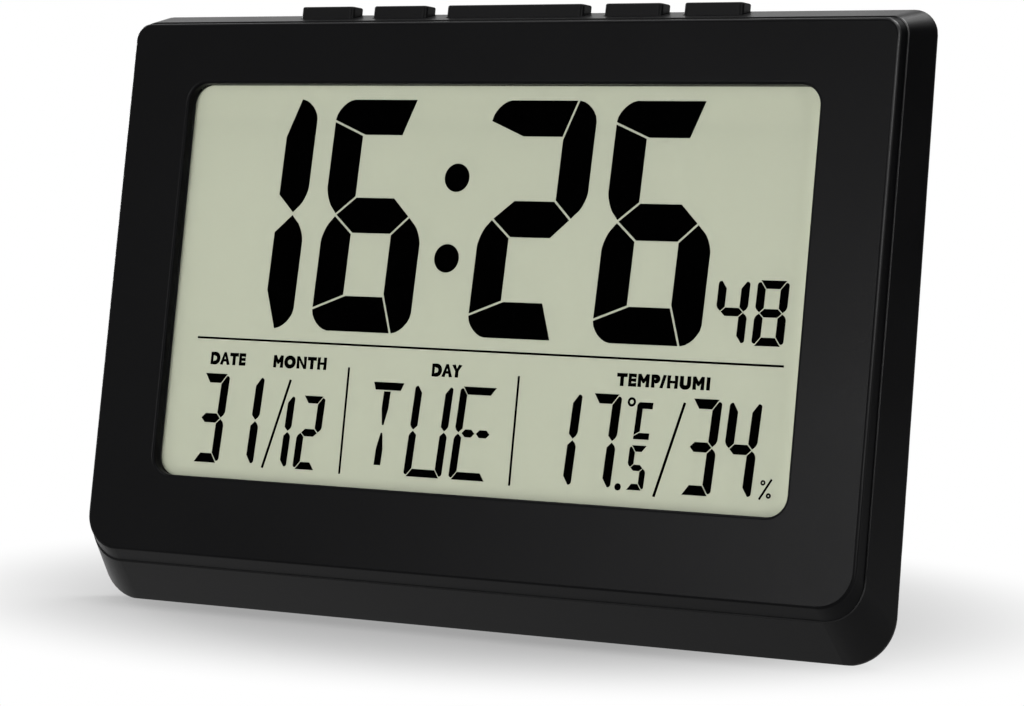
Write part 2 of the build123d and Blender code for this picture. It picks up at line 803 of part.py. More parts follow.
def make_battery_door():
    """Flat door with a tongue along three edges and grip ribs."""
    right = block_half_width - door_clearance
    front = door_front
    door = block((door_left, right), (front, block_back), (door_low, door_high))
    tongue_y = (front, front + door_tongue_thickness)
    tongue_x = (door_left + door_clearance, bay_right)
    door += block(tongue_x, tongue_y, (door_low - door_tongue, door_high + door_tongue))
    tab_z = (door_middle - door_tab_length / 2, door_middle + door_tab_length / 2)
    door += block((door_left - door_tab, door_left), tongue_y, tab_z)
    rib_z = (door_middle - door_rib_length / 2, door_middle + door_rib_length / 2)
    for i in range(door_rib_count):
        x = right - door_rib_edge - i * door_rib_pitch
        door += block((x - door_rib_width, x), (block_back, block_back + door_rib_proud), rib_z)
    return door


def make_stand():
    """Fold-out stand: ribbed plate, heel that stops on the recess, pegs of the hinge."""
    half = stand_half_width
    long_end = hinge_z + stand_thickness
    plate = block((-half, half), (0, stand_thickness), (-long_end, stand_heel))
    plate = fillet(plate.edges().filter_by(Axis.Y).group_by(Axis.Z)[-1], stand_corner)
    pocket_x = (-half + stand_rim, half - stand_rim)
    pocket_y = (0, stand_pocket)
    pocket_z = (-long_end + stand_rim + 2 * stand_corner, -stand_thickness - stand_rim)
    pocket = block(pocket_x, pocket_y, pocket_z)
    pitch = (pocket_x[1] - pocket_x[0]) / (stand_rib_count + 1)
    for i in range(stand_rib_count):
        x = pocket_x[0] + (i + 1) * pitch
        pocket -= block((x - stand_rib / 2, x + stand_rib / 2), pocket_y, pocket_z)
    plate -= pocket
    plate += Rot(Y=90) * Cylinder(stand_thickness, 2 * half)
    plate += Rot(Y=90) * Cylinder(stand_peg_radius, 2 * (half + stand_peg_length))
    plate = Pos(0, hinge_y, hinge_z) * Rot(X=stand_open) * plate
    return plate - below_floor()


def make_buzzer():
    """Piezo disc: brass plate with a thinner ceramic disc on it."""
    back = block_back - block_wall
    disc = rod(buzzer_x, buzzer_z, buzzer_radius, back - buzzer_thickness, back)
    return disc + rod(buzzer_x, buzzer_z, buzzer_ceramic_radius, buzzer_front, back - buzzer_thickness)


def make_all():
    """Every piece of the clock, upright."""
    pieces = {
        "front_cover": make_front_cover(),
        "rear_cover": make_rear_cover(),
        "lcd_holder": make_holder(),
        "main_board": make_main_board(),
        "battery_door": make_battery_door(),
        "fold_stand": make_stand(),
        "buzzer": make_buzzer(),
    }
    pieces.update(make_display())
    pieces.update(make_board_parts())
    pieces.update(make_keys())
    pieces.update(make_screws())
    pieces.update(make_contacts())
    pieces.update(make_leads())
    pieces.update(make_cells())
    for name, (x, width) in button_sizes.items():
        pieces[name] = make_button(x, width)
        pieces[name.replace("button", "plunger")] = make_plunger(x)
    return pieces


def stand_up(pieces):
    """Lean the clock back and put its origin on the floor under the middle of its box."""
    lean = Rot(X=-lean_angle)
    leaned = {name: lean * piece for name, piece in pieces.items()}
    boxes = [piece.bounding_box() for piece in leaned.values()]
    front = min(box.min.Y for box in boxes)
    back = max(box.max.Y for box in boxes)
    floor = (lean * Pos(0, rim_depth_bottom, base_flat)).position
    to_origin = Pos(0, -(front + back) / 2, -floor.Z)
    return to_origin * lean, {name: to_origin * piece for name, piece in leaned.items()}


placing, parts = stand_up(make_all())
os.makedirs("parts", exist_ok=True)
for name, piece in parts.items():
    export_step(piece, f"parts/{name}.step")
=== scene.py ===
import json
import math
import bmesh
import bpy
from mathutils import Matrix, Vector


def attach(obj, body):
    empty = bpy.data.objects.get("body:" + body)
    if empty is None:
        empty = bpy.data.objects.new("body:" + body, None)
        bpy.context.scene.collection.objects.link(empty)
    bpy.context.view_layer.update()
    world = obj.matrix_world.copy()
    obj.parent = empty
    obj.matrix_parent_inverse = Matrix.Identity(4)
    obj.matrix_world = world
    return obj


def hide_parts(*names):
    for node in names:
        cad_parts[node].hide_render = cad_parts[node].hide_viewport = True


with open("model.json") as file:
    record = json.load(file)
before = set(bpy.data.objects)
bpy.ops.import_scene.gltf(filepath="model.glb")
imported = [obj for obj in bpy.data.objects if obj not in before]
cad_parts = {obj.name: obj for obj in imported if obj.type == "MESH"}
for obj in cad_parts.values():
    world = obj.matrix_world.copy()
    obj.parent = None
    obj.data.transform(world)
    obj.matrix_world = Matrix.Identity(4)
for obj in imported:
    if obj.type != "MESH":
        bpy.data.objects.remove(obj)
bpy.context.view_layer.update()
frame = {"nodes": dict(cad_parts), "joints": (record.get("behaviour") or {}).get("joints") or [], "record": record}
nodes = frame["nodes"]
mm = 0.001

# The clock leans back, so its own axes come from the way its buttons are pressed.
press = next(joint for joint in frame["joints"] if joint["name"] == "button_3_press")
up = -Vector(press["axis"])
right = Vector((1, 0, 0))
back = up.cross(right)


def reach(node, axis):
    """Lowest and highest place of a CAD node along an axis."""
    places = [vertex.co.dot(axis) for vertex in nodes[node].data.vertices]
    return min(places), max(places)


def middle(node, axis):
    """Middle of a CAD node along an axis."""
    return sum(reach(node, axis)) / 2


def spot(x, y, z):
    """Point of the room from places along the clock's own axes."""
    return right * x + back * y + up * z


def lay(x, y, z):
    """Matrix that puts a flat drawing, seen from the front, at a place on the clock."""
    turn = Matrix((right, up, -back)).transposed().to_4x4()
    return Matrix.Translation(spot(x, y, z)) @ turn


def lay_behind(x, y, z):
    """Matrix that puts a flat drawing, upside down and seen from behind, at a place on the clock."""
    turn = Matrix((right, -up, back)).transposed().to_4x4()
    return Matrix.Translation(spot(x, y, z)) @ turn


# Camera: focal length and sensor in millimetres, its furthest view in metres, and its place and aim in
# the clock's own axes, the place from the middle of the front of the display lens
camera_lens = 116.72
camera_sensor = 36.0
camera_far = 20.0
camera_place = Vector((378.1, -650.2, -72.19)) * mm
camera_aim = Vector((-0.4900, 0.8683, 0.0775))

# Lens: its refractive index, and the shares of reflection between which it turns from clear to glossy
lens_index = 1.4
lens_aslant = (0.1, 0.8)

# Display film: its border behind the rim, and the painted light that makes it paler along its right end and its
# top, where the window's rim shades it
film_hidden = 3.3 * mm
end_painted_light_width = 6.5 * mm
end_painted_light_share = 1.2
top_painted_light_width = 9 * mm
top_painted_light_share = 0.65

# Display picture, in millimetres: its fit to the window and its layer of ink on the film
picture_scale = 0.9895
picture_shift = -0.45
ink_thickness = 0.06
ink_sunk = 0.02
merge_distance = 0.001

# Case: depths of its parting line and its rim behind the face, at the bottom and at the top
parting_depths = (3.65 * mm, 3.09 * mm)
rim_depths = (14.9 * mm, 12.6 * mm)

# Edges of the case: depths of the rounded edge of the face, of the ledge at the parting line and of
# the rim's own edge; then the polish of the first two, which lies at the case's ends and grows between
# two heights, and the ledge's added roughness
edge_depths = (0.05 * mm, 0.75 * mm)
ledge_depth = 0.107 * mm
rim_margin = 0.375 * mm
end_width = 3.3 * mm
end_fade = (10 * mm, 135 * mm)
edge_polish = 0.65
ledge_polish = 1.0
ledge_dulled = 0.15

# Finish of the back: paler than the rest, a painted light that lifts the back from the black of the front where
# little light reaches it, and duller than the rest
painted_lit_back_dark = (0.020, 0.0202, 0.021)
painted_lit_back_pale = (0.032, 0.0322, 0.0332)
panel_dulled = 0.12

# Screws of the back, in millimetres
head_radius = 2.6
head_height = 1.8
shank_radius = 1.3
shank_length = 8.0
recess_length = 3.1
recess_width = 0.7
recess_depth = 1.1
recess_taper = 0.6
head_round_share = 0.45
head_sides = 48
head_steps = 4
smooth_angle = 35

# Turn of each screw's cross in degrees, and how it differs from side to side and from low to high
cross_turn = 25
cross_turn_by_side = 40
cross_turn_by_rise = 15

# Arrow on the battery door and the ribs beside it, in millimetres
arrow_length = 9.0
arrow_head = 7.0
arrow_shaft = 3.0
arrow_proud = 0.35
arrow_sunk = 0.05
arrow_from_end = 22.5
rib_proud = 0.5

# Floor, in metres, and the soft grey painted shadow of the clock on it: middle, half widths, fading in shares of
# these, darkest tone, and its share against the floor that takes the clock's own shadow
floor_half = 3.0
floor_tone = 0.9
painted_shadow_centre = (-0.017, 0.03)
painted_shadow_reach = (0.155, 0.12)
painted_shadow_fade = (0.48, 1.05)
painted_shadow_tone = 0.42
painted_shadow_share = 0.75

# Light of the room; the lamps' places and sizes in metres and powers in watts; the dark cards
room_light = 0.16
room_aim = Vector((0, 0, 0.07))
lamps = (
    ("top_light", (0.0, 0.1, 1.5), (1.6, 1.4), 21),
    ("front_light", (-0.39, -1.53, 0.3), (0.35, 0.35), 11),
    ("side_light", (1.26, -0.69, 0.4), (0.25, 0.9), 5),
    ("back_light", (0.3, 0.9, 1.35), (0.8, 0.8), 14),
    ("left_light", (-1.3, 0.55, 0.45), (0.25, 0.9), 9),
)
dark_cards = (
    ("side_card", (0.7, 0.45, 0.2), 0.7),
    ("rear_card", (0.12, 0.95, 0.52), 0.6),
)
card_tone = 0.002


class Wire:
    """A socket that carries a value; arithmetic on it adds Math nodes."""

    def __init__(self, paint, socket):
        self.paint = paint
        self.socket = socket

    def maths(self, operation, first, second):
        return self.paint.node("Math", {"operation": operation}, {0: first, 1: second})

    def __add__(self, other):
        return self.maths("ADD", self, other)

    __radd__ = __add__

    def __sub__(self, other):
        return self.maths("SUBTRACT", self, other)

    def __rsub__(self, other):
        return self.maths("SUBTRACT", other, self)

    def __mul__(self, other):
        return self.maths("MULTIPLY", self, other)

    __rmul__ = __mul__

    def __gt__(self, other):
        return self.maths("GREATER_THAN", self, other)

    def __lt__(self, other):
        return self.maths("LESS_THAN", self, other)


class Paint:
    """A node tree under construction."""

    def __init__(self, tree):
        self.tree = tree
        tree.nodes.clear()

    def node(self, kind, settings=None, sockets=None, output=0):
        """A node of one kind, with its settings and the values or links of its sockets."""
        made = self.tree.nodes.new("ShaderNode" + kind)
        for name, value in (settings or {}).items():
            setattr(made, name, value)
        for name, value in (sockets or {}).items():
            if isinstance(value, Wire):
                self.tree.links.new(value.socket, made.inputs[name])
            else:
                made.inputs[name].default_value = value
        return Wire(self, made.outputs[output]) if made.outputs else made

    def place(self):
        """Object coordinates, in metres."""
        return self.node("TexCoord", output="Object")

    def own_place(self):
        """Object coordinates turned into the clock's own axes."""
        lean = math.atan2(up.y, up.z)
        sockets = {"Vector": self.place(), "Rotation": (lean, 0, 0)}
        return self.node("Mapping", {"vector_type": "POINT"}, sockets)

    def own(self, axis):
        """Place along one of the clock's own axes: X to the right, Y to the back, Z up."""
        return self.node("SeparateXYZ", None, {"Vector": self.own_place()}, output=axis)

    def depth(self, at_bottom=0.0, at_top=0.0):
        """Depth behind a plane, given by its own depths behind the face at the case's bottom and top."""
        bottom, top = reach("rear_cover", up)
        rise = (self.own("Z") - bottom) * ((at_top - at_bottom) / (top - bottom))
        return self.own("Y") - (reach("front_cover", back)[0] + at_bottom) - rise

    def ramp(self, value, start, end, shape="LINEAR"):
        """Rise from zero at one value to one at another."""
        sockets = {"Value": value, "From Min": start, "From Max": end}
        return self.node("MapRange", {"interpolation_type": shape}, sockets)

    def rays(self, *names):
        """One for rays of these kinds, and zero for the rest."""
        kinds = [self.node("LightPath", output=f"Is {name} Ray") for name in names]
        return self.node("Math", {"operation": "MINIMUM"}, {0: sum(kinds[1:], kinds[0]), 1: 1.0})

    def noise(self, size, detail=2.0, at=None):
        """Soft noise whose lumps are about one size across, in metres."""
        sockets = {"Vector": at or self.place(), "Scale": 1 / size, "Detail": detail}
        return self.node("TexNoise", None, sockets)

    def blend(self, share, first, second):
        """Colour between two colours."""
        sockets = {"Factor": share, 6: first, 7: second}
        return self.node("Mix", {"data_type": "RGBA"}, sockets, output=2)

    def bump(self, height, depth):
        """Normal of a surface whose height changes by a depth, in metres."""
        return self.node("Bump", None, {"Height": height, "Distance": depth})

    def surface(self, **sockets):
        """Principled surface, its sockets named in small letters."""
        named = {}
        for name, value in sockets.items():
            named[name.replace("_", " ").title().replace("Ior", "IOR")] = value
        return self.node("BsdfPrincipled", None, named)

    def finish(self, shader):
        """Make a shader the surface of the material."""
        self.node("OutputMaterial", None, {"Surface": shader})


def new_paint(name):
    """New material and its node tree."""
    material = bpy.data.materials.new(name)
    material.use_nodes = True
    return material, Paint(material.node_tree)


def colour(red, green, blue):
    return (red, green, blue, 1)


def grey(tone):
    return colour(tone, tone, tone)


def case_ends(paint):
    """Mask of the left and right ends of the face."""
    across = paint.node("Math", {"operation": "ABSOLUTE"}, {0: paint.own("X")})
    end = reach("front_cover", right)[1]
    return paint.ramp(across, end - end_width, end - end_width / 2)


def polish_rise(paint):
    """Rise of the polish from the bottom of the case to its top."""
    bottom = reach("rear_cover", up)[0]
    return paint.ramp(paint.own("Z"), bottom + end_fade[0], bottom + end_fade[1])


def face_edges(paint):
    """Polish of the rounded edge at the ends of the face."""
    depth = paint.depth()
    edge = (depth > edge_depths[0]) * (depth < edge_depths[1])
    return case_ends(paint) * polish_rise(paint) * edge * edge_polish


def parting_ledge(paint):
    """Mask of the ledge at the parting line."""
    return paint.depth(*parting_depths) < ledge_depth


def parting_edges(paint):
    """Polish of the ledge at the ends of the case."""
    return case_ends(paint) * polish_rise(paint) * parting_ledge(paint) * ledge_polish


def back_panel(paint):
    """Mask of all that lies behind the rim."""
    return paint.depth(*rim_depths) > rim_margin


def moulded_plastic(
    name, dark, light, rough, grain=0.35 * mm, grain_depth=0.012 * mm, shine=0.3, polish=None, panel=None,
):
    """Moulded plastic with a fine spark-eroded grain, slight flow marks and uneven gloss.

    Where given, polish makes the mask of its polished edges and panel that of its rougher back, which is also
    painted paler as painted light.
    """
    material, paint = new_paint(name)
    flow = paint.noise(40 * mm, 3)
    speck = paint.noise(grain, 2)
    height = speck + paint.noise(grain * 3, 1) * 0.6
    tone = flow * 0.7 + speck * 0.3
    base = paint.blend(tone, colour(*dark), colour(*light))
    rough = rough + (flow - 0.5) * 0.1 + (speck - 0.5) * 0.12
    if panel:
        behind = panel(paint)
        # Painted light: the back takes paler tones of the same black plastic
        base = paint.blend(behind, base, paint.blend(tone, colour(*painted_lit_back_dark), colour(*painted_lit_back_pale)))
        rough = rough + behind * panel_dulled + parting_ledge(paint) * ledge_dulled
    coat = {"coat_weight": polish(paint), "coat_roughness": 0.3} if polish else {}
    paint.finish(paint.surface(
        base_color=base,
        roughness=rough,
        normal=paint.bump(height, grain_depth),
        specular_ior_level=shine,
        **coat,
    ))
    return material


def clear_lens(name):
    """Polished clear sheet that reflects only where it is seen aslant."""
    material, paint = new_paint(name)
    ripple = paint.bump(paint.noise(60 * mm, 1), 0.02 * mm)
    reflection = paint.node("Fresnel", None, {"IOR": lens_index, "Normal": ripple})
    share = paint.ramp(reflection, *lens_aslant) * (1 - paint.rays("Shadow"))
    clear = paint.node("BsdfTransparent", None, {"Color": colour(0.985, 0.99, 0.985)})
    gloss = paint.node("BsdfGlossy", None, {"Color": grey(0.9), "Roughness": 0.06, "Normal": ripple})
    paint.finish(paint.node("MixShader", None, {0: share, 1: clear, 2: gloss}))
    return material


def display_film(name):
    """Matt polarizing film over the reflector, greenish grey with a very fine sparkle.

    It is painted paler towards its top and its right end, a painted light against the shade that the window's rim
    casts there.
    """
    material, paint = new_paint(name)
    cloud = paint.noise(70 * mm, 2)
    speck = paint.noise(0.12 * mm, 1)
    tone = cloud * 0.6 + speck * 0.4
    film = paint.blend(tone, colour(0.442, 0.455, 0.361), colour(0.5, 0.512, 0.414))
    end = reach("display_lens", right)[1] - film_hidden
    top = reach("display_lens", up)[1] - film_hidden
    near_end = paint.ramp(paint.own("X"), end - end_painted_light_width, end)
    near_top = paint.ramp(paint.own("Z"), top - top_painted_light_width, top)
    # Painted light: a paler film colour near the right end and the top, standing in for the light that the rim's
    # shade takes away
    glow = near_end * near_end * end_painted_light_share + near_top * top_painted_light_share
    paint.finish(paint.surface(
        base_color=paint.blend(glow, film, colour(0.655, 0.672, 0.535)),
        roughness=0.55 + (speck - 0.5) * 0.1,
        normal=paint.bump(speck, 0.001 * mm),
        specular_ior_level=0.1,
    ))
    return material


def display_ink(name):
    """Switched-on segments of the display."""
    material, paint = new_paint(name)
    cloud = paint.noise(6 * mm, 2)
    paint.finish(paint.surface(
        base_color=paint.blend(cloud, grey(0.0002), grey(0.0005)),
        roughness=0.5 + (cloud - 0.5) * 0.1,
        specular_ior_level=0.0,
    ))
    return material


def metal(name, dark, light, rough, run):
    """Plated metal, brushed along one of the room's axes."""
    material, paint = new_paint(name)
    stretch = [1 / (0.15 * mm)] * 3
    stretch[run] = 1 / (6 * mm)
    streaks = paint.node("Mapping", None, {"Vector": paint.place(), "Scale": tuple(stretch)})
    brush = paint.node("TexNoise", None, {"Vector": streaks, "Scale": 1.0, "Detail": 3.0})
    cloud = paint.noise(5 * mm, 2)
    paint.finish(paint.surface(
        base_color=paint.blend(brush * 0.6 + cloud * 0.4, colour(*dark), colour(*light)),
        metallic=0.95,
        roughness=rough + (brush - 0.5) * 0.15,
        normal=paint.bump(brush, 0.004 * mm),
    ))
    return material


def circuit_board(name):
    """Green solder mask over copper runs, with tinned pads and fibre weave at close range."""
    material, paint = new_paint(name)
    at = paint.own_place()
    runs = paint.node("TexBrick", {"offset": 0.37}, {
        "Vector": at, "Scale": 1 / (14 * mm), "Mortar Size": 0.03, "Brick Width": 0.9, "Row Height": 0.22,
        "Color1": grey(0), "Color2": grey(0), "Mortar": grey(1),
    })
    spots = paint.node("TexVoronoi", None, {"Vector": at, "Scale": 1 / (5 * mm)})
    pads = spots < 0.16
    weave = paint.noise(0.5 * mm, 1, at)
    green = paint.blend(weave, colour(0.012, 0.09, 0.03), colour(0.02, 0.13, 0.045))
    tracked = paint.blend(runs, green, colour(0.035, 0.22, 0.08))
    paint.finish(paint.surface(
        base_color=paint.blend(pads, tracked, colour(0.62, 0.6, 0.55)),
        metallic=pads * 0.8,
        roughness=0.32 + weave * 0.1 + pads * 0.1,
        normal=paint.bump(runs + pads * 0.5, 0.03 * mm),
    ))
    return material


def cell_sleeve(name, node, nub_up):
    """Plain grey battery sleeve with a dark ring below its nub and bare metal ends."""
    material, paint = new_paint(name)
    foot, nub = reach(node, up) if nub_up else reversed(reach(node, up))
    body = (paint.own("Z") - foot) * (1 / (nub - foot))
    ring = (body > 0.84) * (body < 0.89)
    rims = (body < 0.02) + (body > 0.965)
    seam = paint.noise(0.4 * mm, 2)
    sleeve = paint.blend(seam, colour(0.27, 0.28, 0.29), colour(0.33, 0.34, 0.35))
    ringed = paint.blend(ring, sleeve, colour(0.03, 0.035, 0.05))
    paint.finish(paint.surface(
        base_color=paint.blend(rims, ringed, colour(0.66, 0.65, 0.62)),
        metallic=rims * 0.9,
        roughness=0.28 + seam * 0.12,
        normal=paint.bump(seam, 0.006 * mm),
    ))
    return material


def layered_rubber(name):
    """Connector rubber with fine dark layers along its length."""
    material, paint = new_paint(name)
    across = paint.node("SeparateXYZ", None, {"Vector": paint.place()}, output="X")
    layers = paint.node("Math", {"operation": "FRACT"}, {0: across * (1 / (0.5 * mm))}) > 0.5
    speck = paint.noise(0.3 * mm)
    paint.finish(paint.surface(
        base_color=paint.blend(layers, colour(0.55, 0.3, 0.33), grey(0.03)),
        roughness=0.6 + speck * 0.15,
        normal=paint.bump(layers + speck, 0.01 * mm),
    ))
    return material


def wire_sleeve(name):
    """Soft red insulation."""
    material, paint = new_paint(name)
    speck = paint.noise(0.8 * mm)
    paint.finish(paint.surface(
        base_color=paint.blend(speck, colour(0.35, 0.015, 0.012), colour(0.5, 0.03, 0.025)),
        roughness=0.4 + speck * 0.15,
        normal=paint.bump(speck, 0.01 * mm),
    ))
    return material


# Finish of each slot; plastics have two tones, their roughness, and the size and depth of their grain
finishes = {
    "case_plastic": moulded_plastic(
        "case_plastic", (0.0006, 0.0006, 0.0008), (0.0016, 0.0016, 0.0019), 0.34,
        shine=0.048, polish=face_edges,
    ),
    "button_plastic": moulded_plastic(
        "button_plastic", (0.003, 0.003, 0.0033), (0.005, 0.005, 0.0054), 0.36, 0.25 * mm, shine=0.06,
    ),
    # Door and stand take the back's paler tones, a painted light
    "door_plastic": moulded_plastic(
        "door_plastic", painted_lit_back_dark, painted_lit_back_pale, 0.46, 0.5 * mm, 0.03 * mm, shine=0.09,
    ),
    "stand_plastic": moulded_plastic(
        "stand_plastic", painted_lit_back_dark, painted_lit_back_pale, 0.44, 0.4 * mm, 0.02 * mm, shine=0.1,
    ),
    "lens_acrylic": clear_lens("lens_acrylic"),
    "gasket_foam": moulded_plastic(
        "gasket_foam", (0.004, 0.004, 0.004), (0.012, 0.012, 0.012), 0.85, 0.3 * mm, 0.05 * mm,
    ),
    "display_film": display_film("display_film"),
    "display_glass": moulded_plastic(
        "display_glass", (0.42, 0.44, 0.36), (0.46, 0.48, 0.4), 0.12, 2 * mm, 0.001 * mm, shine=0.5,
    ),
    "reflector_foil": metal("reflector_foil", (0.55, 0.56, 0.52), (0.7, 0.71, 0.67), 0.35, 0),
    "holder_plastic": moulded_plastic("holder_plastic", (0.62, 0.61, 0.57), (0.72, 0.71, 0.67), 0.5),
    "contact_rubber": layered_rubber("contact_rubber"),
    "circuit_board": circuit_board("circuit_board"),
    "chip_resin": moulded_plastic(
        "chip_resin", (0.006, 0.006, 0.006), (0.016, 0.016, 0.016), 0.3, 1.2 * mm, 0.05 * mm,
    ),
    "crystal_can": metal("crystal_can", (0.55, 0.55, 0.56), (0.72, 0.72, 0.73), 0.25, 0),
    "capacitor_can": moulded_plastic(
        "capacitor_can", (0.02, 0.025, 0.09), (0.03, 0.04, 0.13), 0.3, 0.5 * mm,
    ),
    "sensor_plastic": moulded_plastic(
        "sensor_plastic", (0.66, 0.66, 0.64), (0.76, 0.76, 0.74), 0.45, 0.2 * mm,
    ),
    "switch_plastic": moulded_plastic(
        "switch_plastic", (0.01, 0.01, 0.011), (0.02, 0.02, 0.021), 0.4, 0.2 * mm,
    ),
    "flat_cable": moulded_plastic(
        "flat_cable", (0.6, 0.6, 0.58), (0.75, 0.75, 0.72), 0.3, 1.0 * mm, 0.03 * mm,
    ),
    "buzzer_brass": metal("buzzer_brass", (0.6, 0.42, 0.14), (0.78, 0.6, 0.26), 0.3, 0),
    "cell_sleeve": cell_sleeve("cell_sleeve", "battery_1", True),
    "contact_metal": metal("contact_metal", (0.6, 0.58, 0.53), (0.76, 0.74, 0.69), 0.28, 0),
    "screw_steel": metal("screw_steel", (0.36, 0.36, 0.37), (0.56, 0.56, 0.58), 0.3, 0),
    "lead_wire": wire_sleeve("lead_wire"),
}
ink = display_ink("display_ink")

# Nodes whose finish differs from that of the others in their slot
own_finishes = {
    "rear_cover": moulded_plastic(
        "rear_shell", (0.0008, 0.0008, 0.001), (0.0018, 0.0018, 0.002), 0.36, shine=0.075,
        polish=parting_edges, panel=back_panel,
    ),
    "battery_2": cell_sleeve("turned_cell_sleeve", "battery_2", False),
}

for row in frame["record"]["subparts"]:
    materials = nodes[row["node"]].data.materials
    materials.clear()
    materials.append(own_finishes.get(row["node"], finishes[row["material_slot"]]))


def deselect():
    """Leave edit mode and select nothing."""
    if bpy.context.object and bpy.context.object.mode == "EDIT":
        bpy.ops.object.mode_set(mode="OBJECT")
    bpy.ops.object.select_all(action="DESELECT")


def join(pieces):
    """One object from several."""
    deselect()
    for piece in pieces:
        piece.select_set(True)
    bpy.context.view_layer.objects.active = pieces[0]
    bpy.ops.object.join()
    return bpy.context.object


def own_copy(piece):
    """Copy of a piece with its own mesh."""
    copy = piece.copy()
    copy.data = piece.data.copy()
    bpy.context.collection.objects.link(copy)
    return copy


def start_plate(x, y):
    """Flat plate between limits in millimetres, left in edit mode."""
    deselect()
    centre = ((x[0] + x[1]) / 2 * mm, (y[0] + y[1]) / 2 * mm, 0)
    bpy.ops.mesh.primitive_plane_add(size=1, location=centre)
    plate = bpy.context.object
    plate.scale = ((x[1] - x[0]) * mm, (y[1] - y[0]) * mm, 1)
    bpy.ops.object.transform_apply(location=True, rotation=False, scale=True)
    bpy.ops.object.mode_set(mode="EDIT")
    return plate


def trim(start, end, keep, gap):
    """Cut the plate in hand along a line, half a gap back from it, and keep the side of one point."""
    along = (Vector(end) - Vector(start)).normalized()
    off = Vector((along.y, -along.x))
    if off.dot(Vector(keep) - Vector(start)) > 0:
        off = -off
    cut = (Vector(start) - off * gap / 2) * mm
    bpy.ops.mesh.select_all(action="SELECT")
    bpy.ops.mesh.bisect(plane_co=(*cut, 0), plane_no=(*off, 0), clear_outer=True)


# Rounded corners: their bulge, where 0.5 is a circle's arc and 0.25 a straight cut, and their steps
arc_profile = 0.43
arc_steps = 6


def round_off(plate, point, radius):
    """Round the corner of the plate in hand that lies nearest to a point."""
    corner = Vector((*point, 0)) * mm
    shape = bmesh.from_edit_mesh(plate.data)
    bpy.ops.mesh.select_all(action="DESELECT")
    bpy.ops.mesh.select_mode(type="VERT")
    shape.verts.ensure_lookup_table()
    nearest = min(shape.verts, key=lambda vertex: (vertex.co - corner).length)
    nearest.select_set(True)
    shape.select_flush_mode()
    bmesh.update_edit_mesh(plate.data)
    bpy.ops.mesh.bevel(offset=radius * mm, segments=arc_steps, profile=arc_profile, affect="VERTICES")


def thicken(height):
    """Give the flat piece in hand a thickness in millimetres."""
    bpy.ops.mesh.select_all(action="SELECT")
    bpy.ops.mesh.extrude_region_move(TRANSFORM_OT_translate={"value": (0, 0, height * mm)})
    bpy.ops.mesh.select_all(action="SELECT")
    bpy.ops.mesh.normals_make_consistent(inside=False)


# Figures: the rounding of a corner as a share of it, the rounding and the reach of a waist as shares
# of the bar, and the cut tip of a stem as a share of the stem
corner_round_share = 0.93
waist_round_share = 0.3
waist_reach_share = 0.43
tip_cut_share = 0.22


